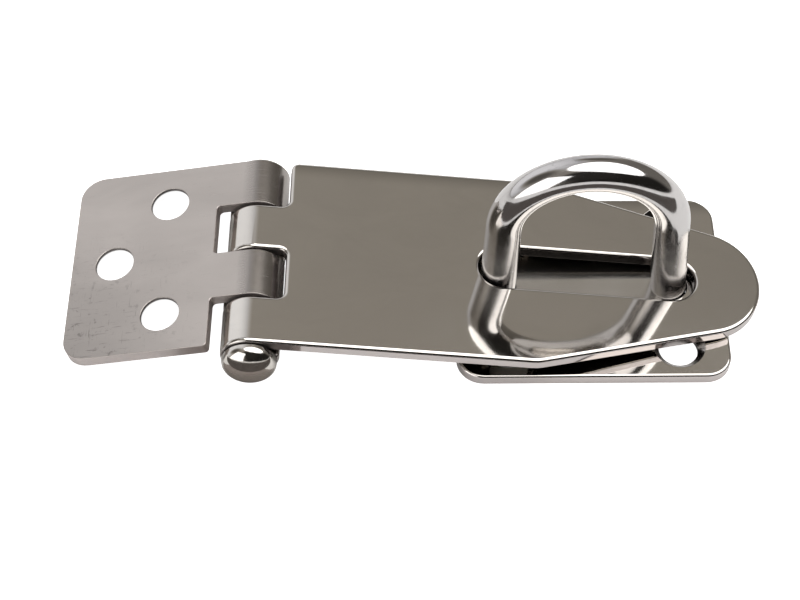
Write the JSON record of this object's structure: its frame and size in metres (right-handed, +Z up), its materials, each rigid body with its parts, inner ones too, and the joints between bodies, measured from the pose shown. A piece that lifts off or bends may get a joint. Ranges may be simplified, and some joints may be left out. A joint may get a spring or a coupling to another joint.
{
  "type": "hasp and staple",
  "caption": "Hinged hasp with a slotted, round-nosed strap and a drilled fixing leaf, laid over a staple with a bent rod loop on a flat base plate.",
  "frame": {"origin": "centre of the underside of the staple's base plate", "axes": "+X along the strap from the hinge to the nose, +Y along the hinge pin away from its domed head, +Z up out of the base plate"},
  "size_m": [0.0845, 0.0309, 0.0257],
  "materials": {
    "strap_steel": "mirror-polished stainless steel sheet with rounded edges",
    "leaf_steel": "satin stainless steel sheet with sheared edges",
    "plate_steel": "mirror-polished stainless steel sheet with rounded edges",
    "loop_steel": "polished stainless steel rod",
    "pin_steel": "polished stainless steel with a satin rim",
    "weld_steel": "ground stainless steel weld"
  },
  "bodies": {
    "staple": {"staple_plate": "plate_steel", "staple_loop": "loop_steel", "weld_left": "weld_steel", "weld_right": "weld_steel"},
    "pin": {"hinge_pin": "pin_steel"},
    "strap": {"hasp_strap": "strap_steel"},
    "leaf": {"hinge_leaf": "leaf_steel"}
  },
  "joints": [
    {"name": "hasp_lift", "type": "slide", "parent": "staple", "child": "pin", "axis": [0, 0, 1], "range_m": [0, 0.03]},
    {"name": "strap_swing", "type": "hinge", "parent": "pin", "child": "strap", "pos_m": [-0.0409, 0, 0.0036], "axis": [0, -1, 0], "range_deg": [0, 86]},
    {"name": "leaf_fold", "type": "hinge", "parent": "pin", "child": "leaf", "pos_m": [-0.0409, 0, 0.0036], "axis": [0, -1, 0], "range_deg": [-14.2, 165.8]}
  ]
}
